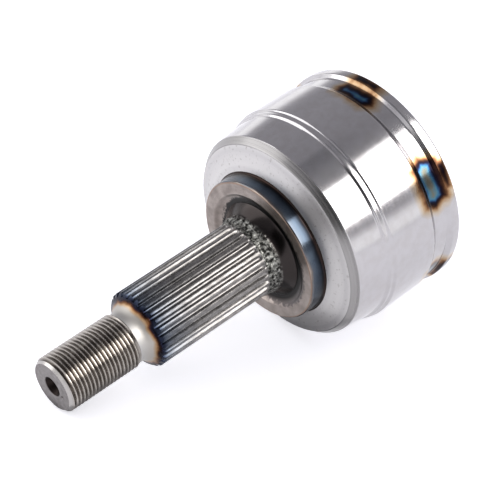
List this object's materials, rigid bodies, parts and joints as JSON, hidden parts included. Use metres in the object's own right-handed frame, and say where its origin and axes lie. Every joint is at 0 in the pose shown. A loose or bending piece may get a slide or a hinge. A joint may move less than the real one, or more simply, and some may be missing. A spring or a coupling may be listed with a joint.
{
  "type": "cv joint",
  "caption": "Fixed ball-type constant velocity joint: bell with boot seat, splined and threaded stub, caged balls and a splined inner race.",
  "frame": {"origin": "joint centre: the point on the axis about which the drive shaft tilts", "axes": "+X along the joint's axis out of the open mouth, away from the threaded stub; +Z through the middle of the first ball track; the drive shaft tilts about Y"},
  "size_m": [0.1476, 0.0838, 0.0838],
  "materials": {
    "forged_steel": "turned and ground forged steel with blue and straw heat tints over the ball tracks",
    "hardened_race": "hardened and ground",
    "cage_steel": "case-hardened, dark",
    "bearing_steel": "polished",
    "spring_steel": "blued round wire"
  },
  "bodies": {
    "stub_side": {"outer_race": "forged_steel"},
    "shaft_side": {"inner_race": "hardened_race", "shaft_snap_ring": "spring_steel"},
    "cage": {"ball_cage": "cage_steel"},
    "ball_1": {"ball_1": "bearing_steel"},
    "ball_2": {"ball_2": "bearing_steel"},
    "ball_3": {"ball_3": "bearing_steel"},
    "ball_4": {"ball_4": "bearing_steel"},
    "ball_5": {"ball_5": "bearing_steel"},
    "ball_6": {"ball_6": "bearing_steel"}
  },
  "joints": [
    {"name": "shaft_articulation", "type": "hinge", "parent": "stub_side", "child": "shaft_side", "pos_m": [0, 0, 0], "axis": [0, 1, 0], "range_deg": [-45, 45]},
    {"name": "cage_tilt", "type": "hinge", "parent": "stub_side", "child": "cage", "pos_m": [0, 0, 0], "axis": [0, 1, 0], "range_deg": [-22.5, 22.5]},
    {"name": "ball_1_travel", "type": "hinge", "parent": "stub_side", "child": "ball_1", "pos_m": [0.003, 0, 0], "axis": [0, 1, 0], "range_deg": [-22.5, 22.5]},
    {"name": "ball_2_travel", "type": "hinge", "parent": "stub_side", "child": "ball_2", "pos_m": [0.003, 0, 0], "axis": [0, 0.5, 0.866], "range_deg": [-11.52, 11.52]},
    {"name": "ball_3_travel", "type": "hinge", "parent": "stub_side", "child": "ball_3", "pos_m": [0.003, 0, 0], "axis": [0, -0.5, 0.866], "range_deg": [-11.52, 11.52]},
    {"name": "ball_4_travel", "type": "hinge", "parent": "stub_side", "child": "ball_4", "pos_m": [0.003, 0, 0], "axis": [0, -1, 0], "range_deg": [-22.5, 22.5]},
    {"name": "ball_5_travel", "type": "hinge", "parent": "stub_side", "child": "ball_5", "pos_m": [0.003, 0, 0], "axis": [0, -0.5, -0.866], "range_deg": [-11.52, 11.52]},
    {"name": "ball_6_travel", "type": "hinge", "parent": "stub_side", "child": "ball_6", "pos_m": [0.003, 0, 0], "axis": [0, 0.5, -0.866], "range_deg": [-11.52, 11.52]}
  ],
  "couplings": [
    {"joint": "cage_tilt", "follows": "shaft_articulation", "ratio": 0.5},
    {"joint": "ball_1_travel", "follows": "shaft_articulation", "ratio": 0.5},
    {"joint": "ball_2_travel", "follows": "shaft_articulation", "ratio": 0.256},
    {"joint": "ball_3_travel", "follows": "shaft_articulation", "ratio": -0.256},
    {"joint": "ball_4_travel", "follows": "shaft_articulation", "ratio": -0.5},
    {"joint": "ball_5_travel", "follows": "shaft_articulation", "ratio": -0.256},
    {"joint": "ball_6_travel", "follows": "shaft_articulation", "ratio": 0.256}
  ]
}
